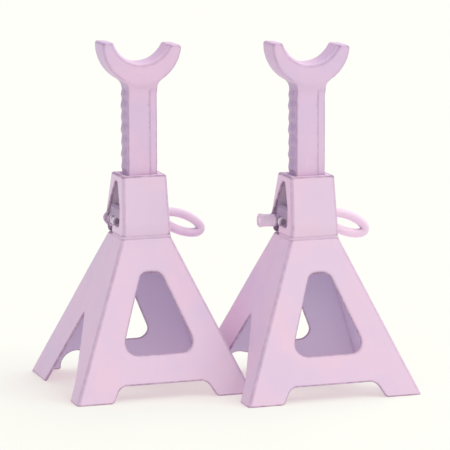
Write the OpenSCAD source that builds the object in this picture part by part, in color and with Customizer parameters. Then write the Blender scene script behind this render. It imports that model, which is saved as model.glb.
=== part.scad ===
// A pair of ratchet axle stands. Each has a pyramid of two pressed leg plates, a collar with
// side slots, a toothed bar with a U saddle, and a pawl worked by a looped lifting handle.
// The origin is on the floor, midway between the two stands. +Z is up and the fronts face -Y.

/* [Base] */
// Width of each base on the floor, left to right
base_w = 190; // [184:1:196]
// Depth of each base on the floor, front to back
base_d = 182; // [176:1:188]
// Width and depth of the neck where the legs meet the collar
neck_w = 53; // [52.5:0.5:54]
// Height of the neck above the floor
neck_z = 159; // [157:0.5:160]
// Thickness of the pressed leg plates
plate_t = 3; // [2.6:0.1:3.2]
// Distance from one stand to the other, left to right
pair_dx = 163; // [163:1:400]
// How far the right stand stands in front of the left one
pair_dy = 62; // [58:1:64]

/* [Collar] */
// Height of the collar's flat top above the floor
collar_top_z = 223; // [221:0.5:223.5]
// Width of the collar's top
collar_top_w = 48.5; // [46:0.5:48.5]
// Depth of the collar's top, front to back
collar_top_d = 41; // [38.5:0.5:41]
// Thickness of the collar's sheet
collar_t = 2.5; // [2:0.1:2.6]

/* [Ratchet bar] */
// Distance from one tooth to the next
pitch = 12.7; // [12.5:0.1:12.9]
// How far the teeth stand out from their roots
tooth_depth = 4.1; // [3.6:0.1:4.2]
// Thickness of the bar, front to back
bar_d = 26; // [24:0.5:26]
// Outer radius of the U saddle
saddle_r = 42.5; // [40:0.5:43.5]
// Radius of the saddle's seat
seat_r = 31.5; // [30:0.5:34]
// Depth of the saddle, front to back
saddle_d = 32; // [30:1:36]

/* [Handle] */
// Diameter of the handle's round bar
handle_dia = 9.5; // [9:0.1:9.8]
// Diameter of the pivot pin
pin_dia = 6; // [5:0.5:6]
// How far the left stand's handle boss reaches beside the bar
left_tail = 24.5; // [24:0.5:30]
// How far the right stand's handle boss reaches beside the bar
right_tail = 44; // [30:1:46]

/* [Hidden] */
PIECES = [
    "front_leg_plate", "back_leg_plate", "collar", "top_guide", "neck_plate",
    "guide_channel", "pivot_boss", "pivot_pin", "pivot_spacers",
    "ratchet_bar", "stop_pin", "pawl", "handle"
];
NODES = [for (side = ["left", "right"]) for (piece = PIECES) str(side, "_", piece)];
node = "all";
$fn = 48;
eps = 0.01;

paint = "thistle";
steel = "silver";

// Half sizes of the leg pyramid at a height, and how thick its sloping sheet is when cut level
function leg_hw(z) = base_w / 2 - z * (base_w - neck_w) / 2 / neck_z;
function leg_hd(z) = base_d / 2 - z * (base_d - neck_w) / 2 / neck_z;
leg_tx = plate_t * norm([1, (base_w - neck_w) / 2 / neck_z]);
leg_ty = plate_t * norm([1, (base_d - neck_w) / 2 / neck_z]);

// Levels of the collar's outside, each [x0, x1, y0, y1, z]: its back bulges to clear the handle
collar_levels = [
    [-neck_w / 2, neck_w / 2, -neck_w / 2, neck_w / 2, neck_z],
    [-26.2, 26.2, -27.6, 37.5, neck_z + 6.5],
    [-25.7, 25.7, -28, 40, neck_z + 13],
    [-collar_top_w / 2, collar_top_w / 2, -collar_top_d / 2, collar_top_d / 2, collar_top_z]
];
slot_w = 60;            // longer than the collar is wide, so that a slot cuts a whole side

// The bar: its right face, the tips and roots of its teeth, and its ends
bar_right = 16.9;
tip_x = -17.3;
root_x = tip_x + tooth_depth;
bar_left = -14.6;
bar_bottom = 118;
teeth = 15;
latched_z = 189.1;      // underside of the tooth that rests on the pawl
first_tooth_z = latched_z - 5 * pitch;
flank_h = 0.6 * pitch;
saddle_x = 0;
saddle_z = 359;
seat_z = 371.5;
horn_z = [362.5, 357.5];  // tops of the left and right horns at the saddle's edges
flare_z = 312.6;        // where the bar starts to flare into the saddle
bar_play = 0.6;         // clearance all round the bar in its guides

// The handle and pawl turn on a pin along Y, left of the bar's teeth
pivot = [-20, 0, 171];
handle_y = 24;          // the handle's bar passes behind the ratchet bar
handle_tilt = 2.5;
handle_z = 172.3;       // height of the handle's bar in line with the pivot
boss_r = 6.6;
boss_right = 8;         // how far the pawl's boss reaches to the right of the pivot
rod_right = 59.4;       // how far the handle's bar reaches to the right of the pivot
loop_centre = [53.5, handle_y, 164.2];
loop_a = 23;
loop_b = 8.7;
loop_tilt = 22;
fit = 0.05;             // running clearance of pins in their bores

// The guide channel, the headed pin that the pawl turns on, and the stop pin in the bar's foot
channel_t = 2.5;
channel_hd = bar_d / 2 + bar_play;
channel_left = -11;
channel_right = bar_right + 0.4;
channel_bottom = 128;
guide_t = 3;
plate_gap = 0.1;        // welded pieces stand this far apart
ear_r = 5.6;
washer_r = 5.2;
head_r = 5.5;
head_t = 2.5;
pin_seat_r = 6.5;
pin_seat_y = 42.5;
stop_x = 1.3;
stop_z = 124;
stop_r = 2;
stop_rise = 5 * pitch;  // how far the stop pin can rise in its slots

// A block with flat sloping sides between two level rectangles, each [x0, x1, y0, y1, z]
module tapered(low, high) {
    corners = [for (r = [low, high]) for (c = [[0, 2], [1, 2], [1, 3], [0, 3]]) [r[c[0]], r[c[1]], r[4]]];
    sides = [for (i = [0:3]) [i, i + 4, (i + 1) % 4 + 4, (i + 1) % 4]];
    polyhedron(points = corners, faces = concat([[0, 1, 2, 3], [7, 6, 5, 4]], sides));
}

// Stands a flat outline drawn in X and Z upright, and thickens it front to back
module upright(depth) rotate([90, 0, 0]) linear_extrude(depth, center = true) children();

// Stands a flat outline drawn in Y and Z upright, and thickens it left to right
module sideways(width) rotate([90, 0, 90]) linear_extrude(width, center = true) children();

module ring(r_out, r_in, h) difference() {
    cylinder(r = r_out, h = h);
    translate([0, 0, -1]) cylinder(r = r_in, h = h + 2);
}

// Anything inside turns its Z axis to +Y, at the pivot, from a given y
module on_pivot(y) translate([pivot[0], y, pivot[2]]) rotate([-90, 0, 0]) children();

function leg_section(z, inset_x, inset_y) =
    [-leg_hw(z) + inset_x, leg_hw(z) - inset_x, -leg_hd(z) + inset_y, leg_hd(z) - inset_y, z];

module leg_shell() difference() {
    tapered(leg_section(0, 0, 0), leg_section(neck_z, 0, 0));
    tapered(leg_section(-1, leg_tx, leg_ty), leg_section(neck_z + 1, leg_tx, leg_ty));
}

// Rounded triangle through a plate. The back one is smaller and lower than the front one.
module leg_window(front) upright(base_d + 20) hull() for (s = [-1, 1]) {
    translate([s * (front ? 24 : 20), front ? 56.5 : 41]) circle(front ? 12 : 10);
    translate([s * (front ? 3.5 : 2), front ? 115 : 81.5]) circle(front ? 10 : 8);
}

// The low arch between the feet of a plate. The back one is higher near the left foot.
module foot_arch(front) upright(base_d + 20) {
    hull() {
        translate([front ? -40 : -47, 5]) circle(front ? 11 : 16);
        translate([front ? 40 : 2, front ? 5 : 0]) circle(front ? 11 : 8);
        translate([-58, -4]) square([front ? 116 : 60, 1]);
    }
    if (!front) hull() {
        translate([2, 0]) circle(8);
        translate([49, -1]) circle(8);
        translate([0, -4]) square([58, 1]);
    }
}

// The tall opening between the front and back legs, seen from the side
module side_opening() sideways(base_w + 20) hull() {
    translate([0, 75.5]) circle(2.5);
    translate([-52.5, 22]) circle(0.5);
    translate([-66, -4]) square([104, 1]);
}

module leg_plate(front) difference() {
    leg_shell();
    leg_window(front);
    foot_arch(front);
    side_opening();
    translate([-base_w, front ? 0 : -2 * base_d, -5]) cube([2 * base_w, 2 * base_d, neck_z + 10]);
}

module front_leg_plate() color(paint) leg_plate(true);

module back_leg_plate() color(paint) leg_plate(false);

function inset(r, t) = [r[0] + t, r[1] - t, r[2] + t, r[3] - t, r[4]];

function level(r, z) = [r[0], r[1], r[2], r[3], z];

// Slots in the collar's sides, deeper at the back, where the pawl's boss and the handle's bar pass.
// The right one is also wider there, so that the handle can rise.
module side_slot(back) offset(r = 2) offset(delta = -2) polygon(concat(
    [
        [12.4, neck_z + 1.5], [12.8, neck_z + 10], [-10, neck_z + 10], [-12.3, neck_z + 14],
        [-12.5, 188], [-2.5, 215.5], [5.5, 215.5]
    ],
    back,
    [[34.7, neck_z + 5.5], [25, neck_z + 1.5]]
));

module collar() color(paint) difference() {
    for (i = [0:2]) tapered(collar_levels[i], collar_levels[i + 1]);
    for (i = [0:2]) tapered(
        inset(level(collar_levels[i], collar_levels[i][4] - eps), collar_t + 0.2),
        inset(level(collar_levels[i + 1], collar_levels[i + 1][4] + eps), collar_t + 0.2)
    );
    translate([-slot_w / 2, 0, 0]) sideways(slot_w) side_slot([[19, 199], [31, 182], [34.5, 178]]);
    translate([slot_w / 2, 0, 0]) sideways(slot_w) side_slot([[22, 206], [29.5, 191], [34.5, 179]]);
    on_pivot(30) cylinder(r = pin_dia / 2 + fit, h = 20);
}

// Plate in the top of the collar, with the hole that guides the bar
module top_guide() color(paint) difference() {
    top = inset(collar_levels[3], collar_t + 0.2);
    tapered(level(top, collar_top_z - guide_t), top);
    translate([tip_x - bar_play, -channel_hd, 200])
        cube([channel_right - tip_x + bar_play, 2 * channel_hd, 50]);
}

// Plate in the neck that holds the lower end of the guide channel
module neck_plate() color(paint) difference() {
    hole_left = tip_x - 2;
    hole_hd = channel_hd + channel_t + plate_gap;
    tapered(
        leg_section(neck_z - 6, leg_tx + plate_gap, leg_ty + plate_gap),
        leg_section(neck_z - 2, leg_tx + plate_gap, leg_ty + plate_gap)
    );
    translate([hole_left, -hole_hd, 100])
        cube([channel_right + channel_t + plate_gap - hole_left, 2 * hole_hd, 100]);
}

// Folded channel that the bar slides in. Its back cheek carries the front end of the pivot pin.
module guide_channel() color(paint) {
    cheek_h = collar_top_z - guide_t - channel_bottom;
    slot_hw = stop_r + 0.4;
    difference() {
        translate([channel_left, -channel_hd - channel_t, channel_bottom])
            cube([channel_right + channel_t - channel_left, 2 * (channel_hd + channel_t), cheek_h]);
        translate([channel_left - 1, -channel_hd, channel_bottom - 1])
            cube([channel_right - channel_left + 1, 2 * channel_hd, cheek_h + 2]);
        translate([stop_x - slot_hw, -base_d, channel_bottom - 1])
            cube([2 * slot_hw, 2 * base_d, stop_z + stop_rise + stop_r + 2 - channel_bottom]);
    }
    difference() {
        union() {
            on_pivot(channel_hd) cylinder(r = ear_r, h = channel_t);
            translate([pivot[0], channel_hd, pivot[2] - ear_r])
                cube([channel_left + 0.1 - pivot[0], channel_t, 2 * ear_r]);
        }
        on_pivot(channel_hd - 1) cylinder(r = pin_dia / 2, h = channel_t + 2);
    }
}

// Round seat welded on the back of the collar for the head of the pivot pin
module pivot_boss() color(paint) difference() {
    on_pivot(pin_seat_y - 4.5) ring(pin_seat_r, pin_dia / 2 + fit, 4.5);
    tapered(collar_levels[2], collar_levels[3]);
    tapered(collar_levels[1], collar_levels[2]);
}

module pivot_pin() color(steel) {
    on_pivot(channel_hd + 0.1) cylinder(r = pin_dia / 2, h = pin_seat_y - channel_hd - 0.1);
    on_pivot(pin_seat_y) cylinder(r = head_r, h = head_t);
}

// Loose washers that keep the pawl's boss midway between the cheek and the back wall
module pivot_spacers() color(steel) {
    cheek_y = channel_hd + channel_t;
    on_pivot(cheek_y + 0.1) ring(washer_r, pin_dia / 2 + fit, handle_y - boss_r - cheek_y - 0.3);
    on_pivot(handle_y + boss_r + 0.2) ring(washer_r, pin_dia / 2 + fit, 3.6);
}

// Left edge of the bar from its foot up. Each tooth has a level underside and a sloping upper flank.
tooth_edge = [for (k = [0:teeth - 1]) let (z = first_tooth_z + k * pitch) each [
    [root_x, z], [tip_x + 0.6, z], [tip_x, z + 0.6], [tip_x, z + 1.4], [root_x, z + flank_h]
]];

module ratchet_bar() color(paint) difference() {
    union() {
        upright(bar_d) polygon(concat(
            [[bar_right, bar_bottom], [root_x, bar_bottom]], tooth_edge,
            [[bar_left, first_tooth_z + (teeth - 1) * pitch + flank_h + 2], [bar_left, 330], [bar_right, 330]]
        ));
        upright(saddle_d) intersection() {
            difference() {
                translate([saddle_x, saddle_z]) circle(saddle_r, $fn = 128);
                translate([saddle_x, seat_z]) circle(seat_r, $fn = 128);
            }
            polygon([
                [-saddle_r, 300], [saddle_r, 300], [saddle_r, horn_z[1]], [-saddle_r, horn_z[0]]
            ]);
        }
        hull() {
            translate([bar_left, -bar_d / 2, flare_z]) cube([bar_right - bar_left, bar_d, 1]);
            translate([bar_left - 4, -saddle_d / 2, flare_z + 9.5])
                cube([bar_right - bar_left + 8, saddle_d, 1]);
        }
    }
    for (s = [-1, 1]) {
        // the right-hand rib is set back from the front and back faces
        translate([9.2 + 10, s * (bar_d / 2 + 2), bar_bottom + 93.5]) cube([20, 8, 189], center = true);
        // shallow casting pocket at the foot
        translate([2.9, s * (bar_d / 2 + 2.2), bar_bottom + 63.5]) cube([12.8, 6, 129], center = true);
    }
    translate([stop_x, 0, stop_z]) rotate([90, 0, 0]) cylinder(r = stop_r, h = 2 * bar_d, center = true);
}

// Cross pin at the foot of the bar that stops it being pulled out of the channel
module stop_pin() color(steel) translate([stop_x, 0, stop_z]) rotate([90, 0, 0])
    cylinder(r = stop_r, h = 2 * (channel_hd + channel_t - 0.4), center = true);

// Places things along the handle's bar: local Z points to the right, and 0 is over the pivot
module on_handle() translate([pivot[0], handle_y, handle_z - 1]) rotate([0, 90 - handle_tilt, 0]) children();

nose_tip_x = root_x - 0.7;
nose_r = norm([nose_tip_x - pivot[0], 188.1 - pivot[2]]);

// Cast pawl: its nose sits under a tooth, and its arm joins the boss that holds the handle
module pawl(tail) color(paint) difference() {
    reach = tail + pivot[0];
    union() {
        translate([0, 5.5, 0]) upright(31) intersection() {
            polygon([
                [-24.4, 177.4], [-24.4, 186], [-22, 189.5], [nose_tip_x, 189.5],
                [nose_tip_x, 184], [-18.1, 178.6], [-18.1, 177.4]
            ]);
            translate([pivot[0], pivot[2]]) circle(nose_r, $fn = 96);
        }
        translate([-24.4, 17.6, 171]) cube([6.3, 3.4, 10]);
        on_handle() translate([0, 0, -reach]) cylinder(r = boss_r, h = reach + boss_right);
    }
    on_handle() translate([0, 0, -reach - 1]) cylinder(r = handle_dia / 2 + fit, h = reach + boss_right + 2);
    on_pivot(0) cylinder(r = pin_dia / 2 + fit, h = 60);
}

// Points round the handle's loop, which lies in an upright plane
loop_steps = 36;
loop_sides = 16;
function loop_point(i) = let (a = 360 * i / loop_steps, u = loop_a * cos(a), v = loop_b * sin(a))
    loop_centre + [u * cos(loop_tilt) + v * sin(loop_tilt), 0, v * cos(loop_tilt) - u * sin(loop_tilt)];
function loop_out(i) =
    let (a = 360 * i / loop_steps, u = loop_b * cos(a), v = loop_a * sin(a), n = norm([u, v]))
    [u * cos(loop_tilt) + v * sin(loop_tilt), 0, v * cos(loop_tilt) - u * sin(loop_tilt)] / n;

module handle_loop() {
    points = [for (i = [0:loop_steps - 1]) for (j = [0:loop_sides - 1]) let (a = 360 * j / loop_sides)
        loop_point(i) + handle_dia / 2 * (cos(a) * loop_out(i) + [0, sin(a), 0])];
    faces = [for (i = [0:loop_steps - 1]) for (j = [0:loop_sides - 1])
        let (i2 = (i + 1) % loop_steps, j2 = (j + 1) % loop_sides)
        [i * loop_sides + j, i2 * loop_sides + j, i2 * loop_sides + j2, i * loop_sides + j2]];
    polyhedron(points = points, faces = faces, convexity = 6);
}

// Round bar through the pawl's boss, with its right end bent into a closed drooping loop
module handle(tail) color(paint) difference() {
    left_end = 0.4 - tail - pivot[0];
    union() {
        on_handle() translate([0, 0, left_end]) cylinder(r = handle_dia / 2, h = rod_right - left_end);
        handle_loop();
    }
    on_pivot(0) cylinder(r = pin_dia / 2 + fit, h = 60);
}

function wanted(side, piece) = node == "all" || node == str(side, "_", piece);

module stand(side, tail) {
    if (wanted(side, "front_leg_plate")) front_leg_plate();
    if (wanted(side, "back_leg_plate")) back_leg_plate();
    if (wanted(side, "collar")) collar();
    if (wanted(side, "top_guide")) top_guide();
    if (wanted(side, "neck_plate")) neck_plate();
    if (wanted(side, "guide_channel")) guide_channel();
    if (wanted(side, "pivot_boss")) pivot_boss();
    if (wanted(side, "pivot_pin")) pivot_pin();
    if (wanted(side, "pivot_spacers")) pivot_spacers();
    if (wanted(side, "ratchet_bar")) ratchet_bar();
    if (wanted(side, "stop_pin")) stop_pin();
    if (wanted(side, "pawl")) pawl(tail);
    if (wanted(side, "handle")) handle(tail);
}

translate([-pair_dx / 2, pair_dy / 2, 0]) stand("left", left_tail);
translate([pair_dx / 2, -pair_dy / 2, 0]) stand("right", right_tail);
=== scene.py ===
"""Looks for a pair of ratchet axle stands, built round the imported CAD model.

The pressed, cast and bent pieces are drawn as distance fields in millimetres, in the frame of one
stand (origin on the floor under its centre), and turned into closed meshes by surface_mesh().
The small fitted pieces keep their CAD meshes and get bevels and materials.
"""

import itertools
import math

import bpy
import numpy as np
from mathutils import Euler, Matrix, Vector


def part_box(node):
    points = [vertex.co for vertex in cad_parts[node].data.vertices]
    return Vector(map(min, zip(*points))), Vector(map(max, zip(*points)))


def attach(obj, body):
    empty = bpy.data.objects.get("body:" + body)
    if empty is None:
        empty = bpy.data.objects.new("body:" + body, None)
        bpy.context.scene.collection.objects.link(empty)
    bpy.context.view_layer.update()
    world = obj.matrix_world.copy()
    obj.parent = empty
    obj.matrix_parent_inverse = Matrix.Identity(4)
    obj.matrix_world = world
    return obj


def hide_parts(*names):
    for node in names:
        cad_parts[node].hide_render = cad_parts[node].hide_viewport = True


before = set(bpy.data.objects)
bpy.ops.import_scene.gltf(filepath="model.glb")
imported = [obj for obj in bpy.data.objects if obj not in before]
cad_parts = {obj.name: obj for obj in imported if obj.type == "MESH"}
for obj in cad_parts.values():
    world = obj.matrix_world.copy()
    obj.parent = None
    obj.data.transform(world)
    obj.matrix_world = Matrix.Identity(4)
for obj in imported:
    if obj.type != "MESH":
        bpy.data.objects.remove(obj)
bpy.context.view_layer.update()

MM = 0.001
SIDES = ("left", "right")
ROUGH = 1.0


# ---------------------------------------------------------------- sizes read from the frame, in mm

def span(node):
    """Lowest and highest corner of a CAD node, in mm."""
    low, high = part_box(node)
    return np.array(low) / MM, np.array(high) / MM


def stand_centre(side):
    front_low, front_high = span(side + "_front_leg_plate")
    _, back_high = span(side + "_back_leg_plate")
    return np.array([(front_low[0] + front_high[0]) / 2, (front_low[1] + back_high[1]) / 2, 0.0])


CENTRES = {side: stand_centre(side) for side in SIDES}
front_low, front_high = (p - CENTRES["left"] for p in span("left_front_leg_plate"))
collar_low, collar_high = (p - CENTRES["left"] for p in span("left_collar"))
_, guide_high = (p - CENTRES["left"] for p in span("left_top_guide"))
bar_low, bar_high = (p - CENTRES["left"] for p in span("left_ratchet_bar"))

BASE_HW, BASE_HD = front_high[0], -front_low[1]
NECK_Z, NECK_HW = front_high[2], collar_high[0]
COLLAR_TOP = collar_high[2]
GUIDE_GAP = 2.7                          # from the collar's outside to the top guide's edge
TOP_HW, TOP_HD = guide_high[0] + GUIDE_GAP, guide_high[1] + GUIDE_GAP
LEG_T = 3.25                             # the leg sheet's thickness, measured level
COLLAR_T = 2.5
PIVOT = np.array([-20.0, 24.0, 171.0])   # the lever's axis runs along Y through here


# ---------------------------------------------------------------- distance fields

def ease(t):
    """0 below 0, 1 above 1, and smooth between."""
    t = np.clip(t, 0, 1)
    return t * t * (3 - 2 * t)


def both(a, b, r):
    """Inside a and inside b, with the edge between them rounded to radius r."""
    return np.minimum(np.maximum(a, b), -r) + np.hypot(np.maximum(a + r, 0), np.maximum(b + r, 0))


def either(a, b, r):
    """Inside a or inside b, with the corner between them filled to about radius r."""
    h = np.maximum(r - np.abs(a - b), 0) / r
    return np.minimum(a, b) - h * h * r / 4


def rounded_box(u, v, half_u, half_v, r):
    """Distance to a rectangle with round corners, centred on 0."""
    qu, qv = np.abs(u) - half_u + r, np.abs(v) - half_v + r
    return np.hypot(np.maximum(qu, 0), np.maximum(qv, 0)) + np.minimum(np.maximum(qu, qv), 0) - r


def circle(u, v, r, count=40):
    """Points round a circle."""
    turn = np.arange(count) * 2 * math.pi / count
    return np.stack([u + r * np.cos(turn), v + r * np.sin(turn)], 1)


def hull(*groups):
    """Convex outline round some groups of points."""
    points = sorted(map(tuple, np.concatenate(groups)))
    rows = []
    for order in (points, points[::-1]):
        row = []
        for p in order:
            while len(row) > 1 and np.cross(np.subtract(row[-1], row[-2]), np.subtract(p, row[-2])) <= 0:
                row.pop()
            row.append(p)
        rows += row[:-1]
    return np.array(rows)


class Outline:
    """Signed distance to a closed flat outline, kept on a grid whose values are blurred so that
    its corners come out soft."""

    STEP = 0.4
    PAD = 12                             # how far the grid reaches past the outline
    RIM = 2                              # the part of the pad that isn't read

    def __init__(self, points, soft):
        points = np.array(points, float)
        self.low = points.min(0) - self.PAD
        self.high = points.max(0) + self.PAD
        axes = [np.arange(a, b + self.STEP, self.STEP) for a, b in zip(self.low, self.high)]
        u, v = np.meshgrid(*axes, indexing="ij")
        best, inside = np.full(u.shape, 1e9), np.zeros(u.shape, bool)
        for (au, av), (bu, bv) in zip(points, np.roll(points, -1, 0)):
            du, dv = bu - au, bv - av
            t = np.clip(((u - au) * du + (v - av) * dv) / max(du * du + dv * dv, 1e-9), 0, 1)
            best = np.minimum(best, np.hypot(u - au - t * du, v - av - t * dv))
            if av != bv:
                inside ^= ((av > v) != (bv > v)) & (u < au + (v - av) * du / dv)
        self.grid = np.where(inside, -best, best)
        reach = int(round(soft / self.STEP))
        for axis in (0, 1) * 2:
            shifted = [np.roll(self.grid, k, axis) for k in range(-reach, reach + 1)]
            self.grid = sum(shifted) / len(shifted)

    def __call__(self, u, v):
        u, v = np.broadcast_arrays(u, v)
        cu = np.clip(u, self.low[0] + self.RIM, self.high[0] - self.RIM)
        cv = np.clip(v, self.low[1] + self.RIM, self.high[1] - self.RIM)
        gu, gv = (cu - self.low[0]) / self.STEP, (cv - self.low[1]) / self.STEP
        iu, iv = gu.astype(int), gv.astype(int)
        fu, fv = gu - iu, gv - iv
        g = self.grid
        low = g[iu, iv] * (1 - fu) + g[iu + 1, iv] * fu
        high = g[iu, iv + 1] * (1 - fu) + g[iu + 1, iv + 1] * fu
        return low * (1 - fv) + high * fv + np.hypot(u - cu, v - cv)


def tube(x, y, z, points, r):
    """Distance to a round bar of radius r along a chain of points."""
    best = 1e9
    for a, b in zip(points[:-1], points[1:]):
        d = b - a
        t = np.clip(((x - a[0]) * d[0] + (y - a[1]) * d[1] + (z - a[2]) * d[2]) / (d @ d), 0, 1)
        near = (x - a[0] - t * d[0]) ** 2 + (y - a[1] - t * d[1]) ** 2 + (z - a[2] - t * d[2]) ** 2
        best = np.minimum(best, near)
    return np.sqrt(best) - r


def waves(x, y, z, size, seed):
    """Slow smooth unevenness between about -1 and 1, repeating over a few times size."""
    total = 0
    for k in range(3):
        a, b, c = np.sin(seed * 3.1 + k * 2.3), np.cos(seed * 1.7 + k * 4.1), np.sin(seed + k * 1.3 + 0.5)
        total = total + np.sin((a * x + b * y + c * z) * 2 * math.pi / (size * (1 + 0.45 * k)) + seed + 2 * k)
    return total / 3


# ---------------------------------------------------------------- meshes from distance fields

def cell_points(d):
    """Surface nets: one point in each grid cell that the surface crosses, in grid units."""
    shape = tuple(n - 1 for n in d.shape)
    total, count = np.zeros(shape + (3,), np.float32), np.zeros(shape, np.float32)
    for axis in range(3):
        others = [a for a in range(3) if a != axis]
        for shifts in itertools.product((0, 1), repeat=2):
            start = [0, 0, 0]
            for a, s in zip(others, shifts):
                start[a] = s
            ends = []
            for step in (0, 1):
                start[axis] = step
                ends.append(d[tuple(slice(s, s + n) for s, n in zip(start, shape))])
            crossing = (ends[0] < 0) != (ends[1] < 0)
            t = ends[0] / np.where(crossing, ends[0] - ends[1], 1)
            total[..., axis] += np.where(crossing, t, 0)
            for a, s in zip(others, shifts):
                if s:
                    total[..., a] += crossing
            count += crossing
    active = count > 0
    cells = np.argwhere(active)
    return active, cells, cells + total[active] / count[active][:, None]


def cell_faces(d, active):
    """One quad round each grid edge that the surface crosses."""
    index = np.full(active.shape, -1)
    index[active] = np.arange(active.sum())
    quads = []
    for axis in range(3):
        a, b = [k for k in range(3) if k != axis]
        here = [slice(1, -1)] * 3
        here[axis] = slice(0, -1)
        there = list(here)
        there[axis] = slice(1, None)
        first, second = d[tuple(here)] < 0, d[tuple(there)] < 0
        spots = np.argwhere(first != second)
        leaving = first[tuple(spots.T)]
        spots[:, a] += 1
        spots[:, b] += 1
        ring = []
        for sa, sb in ((1, 1), (0, 1), (0, 0), (1, 0)):
            cell = spots.copy()
            cell[:, a] -= sa
            cell[:, b] -= sb
            ring.append(index[tuple(cell.T)])
        ring = np.stack(ring, 1)
        flip = leaving if axis == 1 else ~leaving
        ring[flip] = ring[flip][:, ::-1]
        quads.append(ring)
    return np.concatenate(quads)


def gradient(field, p, h=0.15):
    g = np.empty_like(p)
    for axis in range(3):
        step = np.zeros(3)
        step[axis] = h
        g[:, axis] = (field(*(p + step).T) - field(*(p - step).T)) / (2 * h)
    return g


def bend(field, p, h=1.0):
    """Curvature of the surface at p, in 1/mm: positive on outside corners."""
    total = -6 * field(*p.T)
    for axis in range(3):
        step = np.zeros(3)
        step[axis] = h
        total = total + field(*(p + step).T) + field(*(p - step).T)
    return total / h ** 2


def surface_mesh(name, field, low, high, step, sharp, shade_tone=None, edges=None):
    """Closed mesh of the surface where field(x, y, z) is 0, in mm. Its "edge" attribute reaches 1
    on outside corners that bend by sharp. A painted shade mark is 1 in inside corners, and a painted
    light or shade tone mark is what the given tone function says of (points, normals). edges is the
    field whose corners count, if it isn't field."""
    step *= ROUGH
    axes = [np.arange(a - 2.3 * step, b + 3.3 * step, step) for a, b in zip(low, high)]
    x, y, z = np.meshgrid(*axes, indexing="ij", sparse=True)
    d = np.broadcast_to(field(x, y, z), tuple(len(a) for a in axes)).astype(np.float32)
    active, cells, points = cell_points(d)
    quads = cell_faces(d, active)
    p = np.array([a[0] for a in axes]) + points * step
    for _ in range(2):
        g = gradient(field, p)
        p -= np.clip(field(*p.T), -step, step)[:, None] * g / np.maximum((g * g).sum(1), 0.2)[:, None]
    g = gradient(field, p)
    slope = np.maximum(np.linalg.norm(g, axis=1), 1e-6)
    n = g / slope[:, None]
    mesh = bpy.data.meshes.new(name)
    mesh.from_pydata(p * MM, [], quads.tolist())
    marks = {
        "edge": ease(bend(edges or field, p) / sharp - 0.3),
        # painted shade: 1 deep in inside corners, where shade falls
        "crease_shade": 1 - field(*(p + n * 3).T) / (3 * slope),
        # where a painted light or shade tone takes the place of the paint's own colour
        "shade_tone": shade_tone(p, n) if shade_tone else np.zeros(len(p)),
    }
    for mark, value in marks.items():
        layer = mesh.attributes.new(mark, "FLOAT", "POINT")
        layer.data.foreach_set("value", np.clip(value, 0, 1).astype(np.float32))
    mesh.polygons.foreach_set("use_smooth", np.ones(len(mesh.polygons), bool))
    mesh.update()
    return mesh


def facing_inward(p, n):
    """1 on faces that look towards the stand's middle line, which lie in shade. Their paint swaps in a tone
    painted to stand for that shade: cooler on the legs, near white on the collar.
    """
    return ease(-(n[:, 0] * p[:, 0] + n[:, 1] * p[:, 1]) / np.hypot(p[:, 0], p[:, 1]) * 3)


def bar_side_shade(p, n):
    """1 on the bar's left side, whose colour is painted darker as shade from the light on the right, and less
    on its saddle and below the collar's top.
    """
    share = 1 - 0.6 * ease((p[:, 2] - 316) / 10) - 0.4 * ease((p[:, 2] - 316) / 10) * ease(p[:, 0] / 5)
    share = share - 0.8 * ease((COLLAR_TOP - 4 - p[:, 2]) / 12)
    return share * ease(-n[:, 0] * 2 - 0.6)


def inside_collar(p, n):
    """1 on the part of a lever that the collar hides from daylight, which the pawl's paint darkens as painted
    shade.
    """
    return ease((p[:, 0] + 28) / 2)


def thinned(mesh, ratio):
    """The mesh with fewer faces, mostly taken from its flat stretches."""
    if ratio >= 1:
        return mesh
    carrier = bpy.data.objects.new("carrier", mesh)
    bpy.context.scene.collection.objects.link(carrier)
    modifier = carrier.modifiers.new("thin", "DECIMATE")
    modifier.ratio = ratio
    bpy.context.view_layer.update()
    made = bpy.data.meshes.new_from_object(carrier.evaluated_get(bpy.context.evaluated_depsgraph_get()))
    made.name = mesh.name
    bpy.data.objects.remove(carrier)
    bpy.data.meshes.remove(mesh)
    return made


def place(name, side, mesh, body, slot, material, node=None):
    """Puts a mesh made in the stand's frame where that stand is, riding on its body."""
    piece = bpy.data.objects.new(f"{side}_{name}", mesh.copy())
    bpy.context.scene.collection.objects.link(piece)
    cx, cy, _ = CENTRES[side] * MM
    co = np.empty(len(piece.data.vertices) * 3, np.float32)
    piece.data.vertices.foreach_get("co", co)
    co = co.reshape(-1, 3) + np.array([cx, cy, 0], np.float32)
    piece.data.vertices.foreach_set("co", co.ravel())
    piece.data.materials.clear()
    piece.data.materials.append(material)
    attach(piece, f"{side}_{body}")
    if node:
        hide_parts(f"{side}_{node}")
    return piece


# ---------------------------------------------------------------- the pressed legs

LEG_CORNER = 3.2
PRESSED_SOFT = 0.8                       # how soft the corners of the pressed outlines are
WINDOWS = {
    -1: Outline(hull(*(circle(s * 24, 56.5, 12) for s in (-1, 1)),
                     *(circle(s * 3.5, 115, 10) for s in (-1, 1))), PRESSED_SOFT),
    1: Outline(hull(*(circle(s * 20, 41, 10) for s in (-1, 1)),
                    *(circle(s * 2, 81.5, 8) for s in (-1, 1))), PRESSED_SOFT),
}
ARCHES = {
    -1: Outline(hull(*(circle(s * 40, 5, 11) for s in (-1, 1)), [[-58, -4], [58, -4]]), PRESSED_SOFT),
    1: Outline(hull(circle(-47, 5, 16), circle(2, 0, 8), [[-58, -4], [2, -4]]), PRESSED_SOFT),
}
RIGHT_ARCH = Outline(hull(circle(2, 0, 8), circle(49, -1, 8), [[0, -4], [58, -4]]), PRESSED_SOFT)
SIDE_GAP = Outline(hull(circle(0, 75.5, 2.5), [[-53, 22], [-66, -4], [38, -4]]), PRESSED_SOFT)
LIP_REACH, LIP_DEPTH = 4.0, 0.8          # how the sheet turns in round its windows
SEAM = 0.04                              # half the gap between the front and back plates
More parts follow.
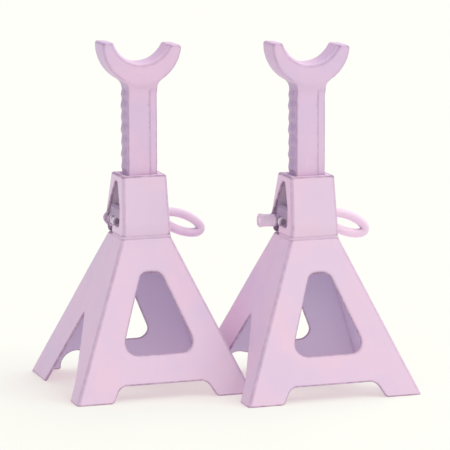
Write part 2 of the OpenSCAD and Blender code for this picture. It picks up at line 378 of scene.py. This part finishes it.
FOOT_ROUND, CUT_ROUND, SEAM_ROUND = 2.5, 1.3, 0.15
ARCH_BLEND = 4
LEG_UNEVEN, LEG_UNEVEN_SIZE = 0.12, 70


def leg_outside(x, y, z):
    k = np.clip(z / NECK_Z, -0.2, 1.2)
    half_x = BASE_HW + (NECK_HW - BASE_HW) * k
    half_y = BASE_HD + (NECK_HW - BASE_HD) * k
    return rounded_box(x, y, half_x, half_y, LEG_CORNER)


def leg_plate(facing, seam=True):
    """facing is -1 for the front plate and 1 for the back one. Without its seam the plate runs on
    past the middle, which keeps the seam's edge out of the "edge" mark."""
    def field(x, y, z):
        window = WINDOWS[facing](x, z)
        d = leg_outside(x, y, z) + LIP_DEPTH * ease(1 - window / LIP_REACH) ** 2
        d = d + LEG_UNEVEN * waves(x, y, z, LEG_UNEVEN_SIZE, 1 + facing)
        sheet = np.abs(d + LEG_T / 2) - LEG_T / 2
        arch = ARCHES[facing](x, z)
        if facing > 0:
            arch = either(arch, RIGHT_ARCH(x, z), ARCH_BLEND)
        ends = np.maximum(both(-z, -arch, FOOT_ROUND), z - NECK_Z)
        cut = np.maximum(np.maximum(ends, -SIDE_GAP(y, z)), -window)
        whole = both(sheet, cut, CUT_ROUND)
        return both(whole, SEAM - facing * y, SEAM_ROUND) if seam else whole
    return field


# ---------------------------------------------------------------- the collar

COLLAR_LEVELS = np.array([               # height, front, back, half width
    [NECK_Z - 8, collar_low[1] + 1.5, NECK_HW, NECK_HW],
    [NECK_Z, collar_low[1] + 1.5, NECK_HW, NECK_HW],
    [NECK_Z + 6.5, collar_low[1] + 0.4, collar_high[1] - 2.5, 26.2],
    [NECK_Z + 13, collar_low[1], collar_high[1], 25.7],
    [COLLAR_TOP, -TOP_HD, TOP_HD, TOP_HW],
    [COLLAR_TOP + 8, -TOP_HD, TOP_HD, TOP_HW],
])
SLOT_FOOT = [[34.7, NECK_Z + 5.5], [25, NECK_Z + 1.5], [12.4, NECK_Z + 1.5], [12.8, NECK_Z + 10],
             [-10, NECK_Z + 10], [-12.3, NECK_Z + 14]]
SLOT_TOP = [[-12.5, 188], [-2.5, 215.5], [5.5, 215.5]]
SLOT_SOFT = 1.2
LEFT_SLOT = Outline(SLOT_FOOT + SLOT_TOP + [[19, 199], [31, 182], [34.5, 178]], SLOT_SOFT)
RIGHT_SLOT = Outline(SLOT_FOOT + SLOT_TOP + [[22, 206], [29.5, 191], [34.5, 179]], SLOT_SOFT)
COLLAR_CORNER, COLLAR_RIM, COLLAR_LIP = 3.4, 1.8, 3.2
COLLAR_INSIDE, SLOT_ROUND = 0.6, 1.0
PIN_HOLE = 3.1                           # radius of the hole for the pivot pin in the back wall


def collar_section(z):
    """Front, back and half width at a height, with the kinks between levels softened."""
    near = [z + k for k in (-2, -1, 0, 1, 2)]
    return [sum(np.interp(h, COLLAR_LEVELS[:, 0], COLLAR_LEVELS[:, i]) for h in near) / 5 for i in (1, 2, 3)]


def collar(x, y, z):
    front, back, half = collar_section(z)
    middle, depth = (front + back) / 2, (back - front) / 2
    d = rounded_box(x, y - middle, half, depth, COLLAR_CORNER) + 0.08 * waves(x, y, z, 40, 5)
    outside = both(both(d, z - COLLAR_TOP, COLLAR_RIM), NECK_Z - z, COLLAR_LIP)
    shell = both(outside, -d - COLLAR_T, COLLAR_INSIDE)
    slot = np.where(x < 0, LEFT_SLOT(y, z), RIGHT_SLOT(y, z))
    bore = np.where(y > 20, np.hypot(x - PIVOT[0], z - PIVOT[2]) - PIN_HOLE, 10)
    return both(shell, np.maximum(-slot, -bore), SLOT_ROUND)


# ---------------------------------------------------------------- the cast bar with its saddle

TEETH, PITCH = 15, 12.7
BAR_LEFT, BAR_RIGHT, BAR_FOOT = -14.6, 16.9, bar_low[2]
TOOTH_TIP, TOOTH_ROOT = -17.3, -13.2
FIRST_TOOTH = 189.1 - 5 * PITCH
BAR_HD, RIB_HD, POCKET_HD = 13.0, 11.2, 12.5
RIB_X, RIB_TOP, POCKET_TOP = 9.2, 310.0, 246.0
SADDLE_X, SADDLE_Z, SADDLE_R = 0.0, 359.0, 42.5
SEAT_Z, SEAT_R, SADDLE_HD = 371.5, 31.5, 16.0
HORN_TOP = bar_high[2]                   # the left horn is the taller one
HORN_FALL = 5 / 85                       # how the horns' tops fall away to the right
BAR_ROUND, HORN_ROUND, CHEEK_ROUND, SEAT_ROUND = 1.7, 3.0, 2.8, 1.8
SEAT_BEVEL, SEAT_SLOPE = 5.5, 0.45       # the seat falls away this near to its front and back
SADDLE_BLEND = 7


def tooth_edge():
    """The bar's left side from its foot up, with each cast tooth a little unlike the next."""
    points = [[TOOTH_ROOT, BAR_FOOT]]
    for k in range(TEETH):
        z, odd = FIRST_TOOTH + k * PITCH, 0.7 * math.sin(5.3 * k)
        tip = TOOTH_TIP + 0.7 + 0.7 * math.sin(2.7 * k)
        points += [[TOOTH_ROOT, z + odd / 2], [tip + 0.4, z], [tip, z + 0.8],
                   [tip, z + 3.0 + odd], [TOOTH_ROOT, z + 8.5 + odd]]
    return points + [[BAR_LEFT, points[-1][1] + 2]]


BAR_TOP = [[BAR_LEFT, 330], [BAR_RIGHT, 330], [BAR_RIGHT, BAR_FOOT]]
TOOTHED = Outline(tooth_edge() + BAR_TOP, 1.0)
WORN = Outline([[-15.6, BAR_FOOT], [-15.6, 300]] + BAR_TOP, 1.0)


def ratchet_bar(x, y, z):
    rib = ease((x - RIB_X + 1.2) / 2.4) * ease((RIB_TOP + 4 - z + 0.5 * (BAR_RIGHT - x)) / 8)
    pocket = ease((x + 6) / 5) * ease((RIB_X - x) / 4) * ease((POCKET_TOP - z) / 8)
    half = BAR_HD - (BAR_HD - RIB_HD) * rib - (BAR_HD - POCKET_HD) * pocket
    worn = ease((np.abs(y + 1) - 3 + 1.2 * np.sin(z * 0.31)) / 8) * (1 - 0.3 * ease((y - 2) / 6))
    shape = TOOTHED(x, z) * (1 - worn) + WORN(x, z) * worn
    bar = both(shape, np.abs(y) - half, BAR_ROUND)
    outer = np.hypot(x - SADDLE_X, z - SADDLE_Z) - SADDLE_R
    seat = SEAT_R - np.hypot(x - SADDLE_X, z - SEAT_Z)
    top = z - HORN_TOP + HORN_FALL * (x - SADDLE_X + SADDLE_R)
    crescent = both(both(outer, top, HORN_ROUND), np.abs(y) - SADDLE_HD, CHEEK_ROUND)
    seat = seat + SEAT_SLOPE * np.maximum(np.abs(y) - SADDLE_HD + SEAT_BEVEL, 0)
    crescent = both(crescent, seat, SEAT_ROUND)
    grain = 0.1 * waves(x, y, z, 16, 2) + 0.06 * waves(x, y, z, 7, 9)
    return either(bar, crescent, SADDLE_BLEND) + grain


# ---------------------------------------------------------------- the lever: pawl and handle

ROD_R, BOSS_R, ROD_TILT, ROD_Z = 4.75, 6.6, math.radians(2.5), 172.3
LOOP = {"x": 53.5, "z": 164.2, "a": 23.0, "b": 8.7, "tilt": math.radians(22)}
NOSE = Outline([[-24.4, 177.4], [-24.4, 186], [-22, 189.3], [-16.4, 189.3],
                [-16.4, 184], [-18.1, 178.6], [-18.1, 177.4]], 0.5)
BOSS_RIGHT = 8.0
ROD_RIGHT = 57.0                         # where the straight rod ends inside the loop
BOSS_FLARE, FLARE_LENGTH = 0.8, 7        # the boss swells towards its free end
ARM_X, ARM_Z, ARM_HW, ARM_HH, ARM_Y, ARM_HD = -21.25, 176, 3.1, 6, 19.3, 1.7
NOSE_Y, NOSE_HD = 5.5, 15.5
LEVER_HOLE = 3.05                        # radius of the pin's hole through boss and rod
LOOP_TURNS = 49                          # points round the loop


def boss_left(side):
    """How far left of the stand's centre the pawl's boss ends."""
    return span(side + "_pawl")[0][0] - CENTRES[side][0] + 0.3


def along_rod(x, z):
    """Distance along the handle's bar from the pivot, and height above its axis."""
    dx, dz = x - PIVOT[0], z - ROD_Z + 1
    return (dx * math.cos(ROD_TILT) - dz * math.sin(ROD_TILT),
            dx * math.sin(ROD_TILT) + dz * math.cos(ROD_TILT))


def loop_points():
    turn = np.linspace(0, 2 * math.pi, LOOP_TURNS)
    u, v = LOOP["a"] * np.cos(turn), LOOP["b"] * np.sin(turn)
    c, s = math.cos(LOOP["tilt"]), math.sin(LOOP["tilt"])
    return np.stack([LOOP["x"] + u * c + v * s, np.full(LOOP_TURNS, PIVOT[1]),
                     LOOP["z"] + v * c - u * s], 1)


def handle(side):
    left = boss_left(side) - PIVOT[0] + 0.6
    points = loop_points()

    def field(x, y, z):
        along, above = along_rod(x, z)
        across = np.hypot(y - PIVOT[1], above)
        rod = both(across - ROD_R, np.maximum(left - along, along - ROD_RIGHT), 0.9)
        bore = np.hypot(x - PIVOT[0], z - PIVOT[2]) - LEVER_HOLE
        whole = either(rod, tube(x, y, z, points, ROD_R), 3) + 0.06 * waves(x, y, z, 18, 4)
        return both(whole, -bore, 0.3)
    return field


def pawl(side):
    left = boss_left(side) - PIVOT[0]

    def field(x, y, z):
        along, above = along_rod(x, z)
        across = np.hypot(y - PIVOT[1], above)
        flare = BOSS_FLARE * ease(1 - (along - left) / FLARE_LENGTH)
        boss = both(across - BOSS_R - flare, np.maximum(left - along, along - BOSS_RIGHT), 1.2)
        arm = both(rounded_box(x - ARM_X, z - ARM_Z, ARM_HW, ARM_HH, 1), np.abs(y - ARM_Y) - ARM_HD, 0.6)
        nose = both(NOSE(x, z), np.abs(y - NOSE_Y) - NOSE_HD, 1.0)
        whole = either(either(boss, arm, 2.5), nose, 1.5) + 0.08 * waves(x, y, z, 9, 7)
        pin = np.hypot(x - PIVOT[0], z - PIVOT[2]) - LEVER_HOLE
        holes = np.minimum(pin, across - ROD_R - 0.05)
        return both(whole, -holes, 0.4)
    return field


# ---------------------------------------------------------------- weld beads

NECK_TURN = 3.2                          # how the bead turns round the neck's corners
NECK_BEAD_X, NECK_BEAD_Z = NECK_HW - 0.9, NECK_Z + 0.4
NECK_BEAD_SHAPE = 4.4, 1.6, 0.3          # width, height and painted shade
BEAD_STEP = 0.5


def bead(name, points, normals, width, height, crease_shade_share, ripple=1.6, sides=10):
    """A low weld bead along points. normals say which way is out of the surface, and the value after
    height is how much painted shade the whole bead gets, as it lies in a crease."""
    points, normals = np.array(points, float), np.array(normals, float)
    normals /= np.linalg.norm(normals, axis=1)[:, None]
    along = np.gradient(points, axis=0)
    along /= np.linalg.norm(along, axis=1)[:, None]
    across = np.cross(along, normals)
    travelled = np.concatenate([[0], np.cumsum(np.linalg.norm(np.diff(points, axis=0), axis=1))])
    taper = np.sqrt(np.clip(np.minimum(travelled, travelled[-1] - travelled) / 2 + 0.05, 0, 1))
    swell = (1 + 0.1 * np.cos(travelled * 2 * math.pi / ripple)) * taper
    turn = np.arange(sides) * 2 * math.pi / sides
    rings = (points[:, None] + across[:, None] * (swell[:, None] * np.cos(turn) * width / 2)[..., None]
             + normals[:, None] * (swell[:, None] * np.sin(turn) * height)[..., None])
    count = len(points)
    faces = [[i * sides + j, i * sides + (j + 1) % sides, (i + 1) * sides + (j + 1) % sides,
              (i + 1) * sides + j] for i in range(count - 1) for j in range(sides)]
    faces += [list(range(sides))[::-1], [(count - 1) * sides + j for j in range(sides)]]
    mesh = bpy.data.meshes.new(name)
    mesh.from_pydata(rings.reshape(-1, 3) * MM, [], faces)
    layer = mesh.attributes.new("crease_shade", "FLOAT", "POINT")
    layer.data.foreach_set("value", np.full(len(mesh.vertices), crease_shade_share, np.float32))
    mesh.polygons.foreach_set("use_smooth", np.ones(len(mesh.polygons), bool))
    mesh.update()
    return mesh


def neck_bead():
    """Under the collar's rolled lip, from slot to slot round the front of the neck."""
    reach = NECK_BEAD_X - NECK_TURN
    side = np.arange(9, -reach, -BEAD_STEP)
    face = np.arange(-reach, reach, BEAD_STEP)
    turn = np.arange(0, math.pi / 2, 0.15)
    corner = NECK_TURN * np.stack([-np.cos(turn), -np.sin(turn)], 1)
    left = np.concatenate([
        np.stack([0 * side - reach - NECK_TURN, side], 1),
        corner - reach,
    ])
    front = np.stack([face, 0 * face - reach - NECK_TURN], 1)
    path = np.concatenate([left, front, left[::-1] * [-1, 1]])
    out = path - np.clip(path, -reach, [reach, 99])
    level = np.ones((len(path), 1))
    return bead("neck_bead", np.hstack([path, level * NECK_BEAD_Z]),
                np.hstack([out, level * 0.4]), *NECK_BEAD_SHAPE)


def back_bead():
    """Along the back of the neck, under the collar's bulge."""
    x = np.arange(-21, 21.01, BEAD_STEP)
    return bead("back_bead", np.stack([x, 0 * x + NECK_BEAD_X, 0 * x + NECK_BEAD_Z], 1),
                [[0, 1, 0.2]] * len(x), *NECK_BEAD_SHAPE)


def boss_bead():
    """Round the pivot boss on the back of the collar."""
    turn = np.linspace(0, 2 * math.pi, 90)
    x, z = PIVOT[0] + 6.8 * np.cos(turn), PIVOT[2] + 6.8 * np.sin(turn)
    y = collar_section(z)[1]
    out = np.stack([np.cos(turn), 0 * turn + 1.2, np.sin(turn)], 1)
    # 0.7: the bead is painted darker as shade, lying in the corner round the boss
    return bead("boss_bead", np.stack([x, y, z], 1), out, 2.2, 1.1, 0.7, ripple=1.9)


# ---------------------------------------------------------------- materials

def linear(r, g, b):
    """Shader colour for an sRGB colour of 0 to 255."""
    return [((c / 255 + 0.055) / 1.055) ** 2.4 if c > 10 else c / 3294 for c in (r, g, b)] + [1]


class Nodes:
    """Short ways to build a material's node tree."""

    def __init__(self, name):
        self.material = bpy.data.materials.new(name)
        self.material.use_nodes = True
        self.tree = self.material.node_tree
        self.tree.nodes.clear()
        output = self.tree.nodes.new("ShaderNodeOutputMaterial")
        self.shader = self.tree.nodes.new("ShaderNodeBsdfPrincipled")
        self.tree.links.new(self.shader.outputs[0], output.inputs[0])
        self.place = self.tree.nodes.new("ShaderNodeTexCoord").outputs["Object"]

    def add(self, kind, inputs=(), **settings):
        node = self.tree.nodes.new("ShaderNode" + kind)
        for key, value in settings.items():
            setattr(node, key, value)
        for key, value in dict(inputs).items():
            if isinstance(value, bpy.types.NodeSocket):
                self.tree.links.new(value, node.inputs[key])
            else:
                node.inputs[key].default_value = value
        return node

    def noise(self, scale, detail=3.0, stretch=None):
        """Noise between 0 and 1. scale is in cycles per metre."""
        place = self.place
        if stretch:
            place = self.add("Mapping", {0: place, "Scale": stretch}).outputs[0]
        return self.add("TexNoise", {"Vector": place, "Scale": scale, "Detail": detail}).outputs["Fac"]

    def ramp(self, value, low, high, to_low=0.0, to_high=1.0):
        return self.add("MapRange", {"Value": value, "From Min": low, "From Max": high,
                                     "To Min": to_low, "To Max": to_high}).outputs[0]

    def mark(self, name):
        return self.add("Attribute", attribute_name=name).outputs["Fac"]

    def times(self, a, b):
        return self.add("Math", {0: a, 1: b}, operation="MULTIPLY").outputs[0]

    def mix(self, share, a, b):
        """Colour a where share is 0 and colour b where it is 1."""
        return self.add("Mix", {0: share, 6: a, 7: b}, data_type="RGBA").outputs[2]


def paint(name, body, warm, cool, edge, crease_shade, shade_tone, roughness, peel, lumps):
    """Satin paint: clouded between three tones, deeper on edges, with painted shade in inside corners,
    and a painted light or shade tone where the tone mark says. peel and lumps are how strong the orange peel
    and the unevenness are."""
    n = Nodes(name)
    colour = n.mix(n.ramp(n.noise(14, 2), 0.42, 0.68), body, warm)
    colour = n.mix(n.ramp(n.noise(23, 3), 0.46, 0.75, 0, 0.8), colour, cool)
    # painted light or shade: a tone that stands for shade, or lifts it, where the tone mark is set
    colour = n.mix(n.mark("shade_tone"), colour, shade_tone)
    darker_edges = n.times(n.mark("edge"), n.ramp(n.noise(160, 4), 0.3, 0.62, 0.45, 1))
    colour = n.mix(darker_edges, colour, edge)
    # painted shade in inside corners, patchy
    crease_shade_share = n.times(n.mark("crease_shade"), n.ramp(n.noise(90, 4), 0.3, 0.7, 0.4, 0.9))
    colour = n.mix(crease_shade_share, colour, crease_shade)
    n.tree.links.new(colour, n.shader.inputs["Base Color"])
    n.tree.links.new(n.ramp(n.noise(60, 4), 0.3, 0.7, roughness - 0.05, roughness + 0.09),
                     n.shader.inputs["Roughness"])
    fine = n.add("Bump", {"Height": n.noise(900, 2), "Strength": peel, "Distance": 0.0003})
    broad = n.add("Bump", {"Height": n.noise(190, 4), "Strength": lumps, "Distance": 0.0008,
                           "Normal": fine.outputs[0]})
    n.tree.links.new(broad.outputs[0], n.shader.inputs["Normal"])
    n.shader.inputs["Specular IOR Level"].default_value = 0.35
    return n.material


def zinc(name):
    """Zinc-plated steel with faint turning marks and a few dull patches."""
    n = Nodes(name)
    colour = n.mix(n.ramp(n.noise(220, 4), 0.35, 0.7), linear(220, 208, 218), linear(186, 172, 184))
    n.tree.links.new(colour, n.shader.inputs["Base Color"])
    n.tree.links.new(n.ramp(n.noise(400, 3, (1, 6, 1)), 0.3, 0.7, 0.3, 0.5), n.shader.inputs["Roughness"])
    marks = n.add("Bump", {"Height": n.noise(900, 2, (1, 8, 1)), "Strength": 0.25, "Distance": 0.0002})
    n.tree.links.new(marks.outputs[0], n.shader.inputs["Normal"])
    n.shader.inputs["Metallic"].default_value = 0.45
    return n.material


# body, warm and cool tones, edge tone, and the painted shade colour for inside corners
PLATE = [linear(233, 207, 228), linear(238, 206, 226), linear(225, 204, 229), linear(176, 146, 174),
         linear(188, 158, 190)]
# the tone for faces that look into the stand is a cooler violet, painted to stand for the shade there
PLATE_PAINT = paint("plate_paint", *PLATE, linear(220, 208, 236), 0.5, 0.12, 0.08)
# the faces that look into the collar are painted near white: painted light lifting the shade inside it
COLLAR_PAINT = paint("collar_paint", *PLATE, linear(250, 236, 250), 0.5, 0.12, 0.08)
# the guide channel inside the collar is painted near white all over: painted light where little light reaches
LIT_CHANNEL_PAINT = paint("channel_paint_lit", *[linear(253, 240, 252)] * 3, *PLATE[3:], linear(253, 240, 252),
                      0.5, 0.12, 0.08)
# the last tone is a darker violet for the bar's left side: painted shade, as the key light comes from the
# right
CAST_PAINT = paint("cast_paint", linear(228, 200, 226), linear(232, 200, 224), linear(220, 196, 226),
                   linear(190, 160, 190), linear(172, 144, 176), linear(196, 172, 202), 0.52, 0.2, 0.3)
# the pawl is painted lighter than the bar, as painted light on its boss end in the collar's shade; its last
# tone is the painted shade for the part inside the collar
PAWL_PAINT = paint("pawl_paint", linear(250, 232, 248), linear(250, 230, 246), linear(242, 224, 244),
                   linear(214, 186, 210), linear(190, 162, 192), linear(172, 150, 178), 0.5, 0.2, 0.3)
ROD_PAINT = paint("rod_paint", linear(244, 220, 238), linear(246, 218, 236), linear(232, 210, 234),
                  linear(206, 176, 200), linear(180, 152, 180), linear(244, 220, 238), 0.32, 0.1, 0.1)
ZINC = zinc("zinc_plate")


# ---------------------------------------------------------------- making the pieces

def soften(node, width, material):
    """Rounds the edges of a CAD piece that keeps its own mesh, and gives it a material."""
    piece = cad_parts[node]
    weld = piece.modifiers.new("weld", "WELD")
    weld.merge_threshold = 0.00001
    bevel = piece.modifiers.new("bevel", "BEVEL")
    bevel.width, bevel.segments, bevel.limit_method = width * MM, 3, "ANGLE"
    bevel.angle_limit = math.radians(40)
    piece.data.materials.clear()
    piece.data.materials.append(material)


FITTINGS = (                             # pieces that keep their CAD mesh: node, bevel in mm, material
    ("top_guide", 0.5, PLATE_PAINT), ("neck_plate", 0.4, PLATE_PAINT), ("guide_channel", 0.5, LIT_CHANNEL_PAINT),
    ("pivot_boss", 0.6, PLATE_PAINT), ("pivot_pin", 0.5, ZINC), ("pivot_spacers", 0.3, ZINC),
    ("stop_pin", 0.4, ZINC),
)


def whole_plate(name, facing, low, high):
    """Mesh of the front or back leg plate between two corners."""
    return surface_mesh(name, leg_plate(facing), low, high, 1.0, 0.42, facing_inward,
                        leg_plate(facing, seam=False))


def make_stands():
    wide, deep = BASE_HW + 1, BASE_HD + 1
    front = whole_plate("front_plate", -1, (-wide, -deep, 0), (wide, 0.5, NECK_Z))
    back = whole_plate("back_plate", 1, (-wide, -0.5, 0), (wide, deep, NECK_Z))
    shell = surface_mesh("collar_shell", collar, collar_low - 1, collar_high + 1, 0.75, 0.4, facing_inward)
    bar = surface_mesh("cast_bar", ratchet_bar, bar_low - 1, bar_high + 1, 0.9, 0.5, bar_side_shade)
    shared = [
        ("front_plate", thinned(front, 0.4), "stand", "painted_plate", PLATE_PAINT, "front_leg_plate"),
        ("back_plate", thinned(back, 0.4), "stand", "painted_plate", PLATE_PAINT, "back_leg_plate"),
        ("collar_shell", thinned(shell, 0.5), "stand", "painted_plate", COLLAR_PAINT, "collar"),
        ("cast_bar", thinned(bar, 0.6), "bar", "painted_casting", CAST_PAINT, "ratchet_bar"),
        ("neck_bead", neck_bead(), "stand", "painted_plate", PLATE_PAINT, None),
        ("back_bead", back_bead(), "stand", "painted_plate", PLATE_PAINT, None),
        ("boss_bead", boss_bead(), "stand", "painted_plate", PLATE_PAINT, None),
    ]
    for side in SIDES:
        for name, mesh, body, slot, material, node in shared:
            place(name, side, mesh, body, slot, material, node)
        low, high = (p - CENTRES[side] for p in span(side + "_handle"))
        rod = surface_mesh("bent_handle", handle(side), low - 1, high + 1, 0.7, 1.0)
        place("bent_handle", side, rod, "lever", "painted_plate", ROD_PAINT, "handle")
        low, high = (p - CENTRES[side] for p in span(side + "_pawl"))
        cast = surface_mesh("cast_pawl", pawl(side), low - 1.5, high + 1.5, 0.6, 1.0, inside_collar)
        place("cast_pawl", side, cast, "lever", "painted_casting", PAWL_PAINT, "pawl")
        for name, width, material in FITTINGS:
            soften(f"{side}_{name}", width, material)


# ---------------------------------------------------------------- floor, light and camera

FLOOR_HALF = 30


def make_floor():
    """A pale floor, which glows a little so that only the shadows leave the background's tone."""
    mesh = bpy.data.meshes.new("floor")
    corners = [(x * FLOOR_HALF, y * FLOOR_HALF, 0) for x, y in ((-1, -1), (1, -1), (1, 1), (-1, 1))]
    mesh.from_pydata(corners, [], [(0, 1, 2, 3)])
    floor = bpy.data.objects.new("floor", mesh)
    bpy.context.scene.collection.objects.link(floor)
    material = bpy.data.materials.new("pale_floor")
    material.use_nodes = True
    shader = material.node_tree.nodes["Principled BSDF"]
    shader.inputs["Base Color"].default_value = (0.43, 0.575, 0.5, 1)
    shader.inputs["Roughness"].default_value = 1
    shader.inputs["Specular IOR Level"].default_value = 0
    shader.inputs["Emission Color"].default_value = (1, 0.745, 0.745, 1)
    shader.inputs["Emission Strength"].default_value = 0.53
    mesh.materials.append(material)


def make_light():
    """Even room light and three soft lamps, each given by its strength, spread, colour and aim."""
    world = bpy.data.worlds.new("room")
    world.use_nodes = True
    world.node_tree.nodes["Background"].inputs[0].default_value = (1, 0.97, 1.08, 1)
    world.node_tree.nodes["Background"].inputs[1].default_value = 0.64
    bpy.context.scene.world = world
    for name, energy, spread, colour, aim in (
            ("key", 1.1, 45, (1, 0.99, 0.84), (-0.8, 0.5, -1.1)),
            ("fill", 0.22, 60, (1, 0.96, 1), (1, 0.5, -0.3)),
            ("back", 0.8, 50, (1, 1, 1), (-0.7, -0.55, -0.75))):
        lamp = bpy.data.lights.new(name, "SUN")
        lamp.energy, lamp.angle, lamp.color = energy, math.radians(spread), colour
        holder = bpy.data.objects.new(name, lamp)
        holder.rotation_euler = Vector(aim).to_track_quat("-Z", "Y").to_euler()
        bpy.context.scene.collection.objects.link(holder)


def make_camera():
    """Long lens, to the front left of the stands and a little above them."""
    lens = bpy.data.cameras.new("camera")
    lens.lens, lens.sensor_width = 240, 36
    camera = bpy.data.objects.new("camera", lens)
    yaw, pitch, roll = (math.radians(a) for a in (18.59, 9.79, 0.12))
    camera.rotation_euler = Euler((math.pi / 2 - pitch, roll, -yaw), "XYZ")
    camera.location = (-0.9816, -2.9298, 0.7016)
    bpy.context.scene.collection.objects.link(camera)
    bpy.context.scene.camera = camera


make_stands()
make_floor()
make_light()
make_camera()
bpy.context.scene.view_settings.view_transform = "Standard"
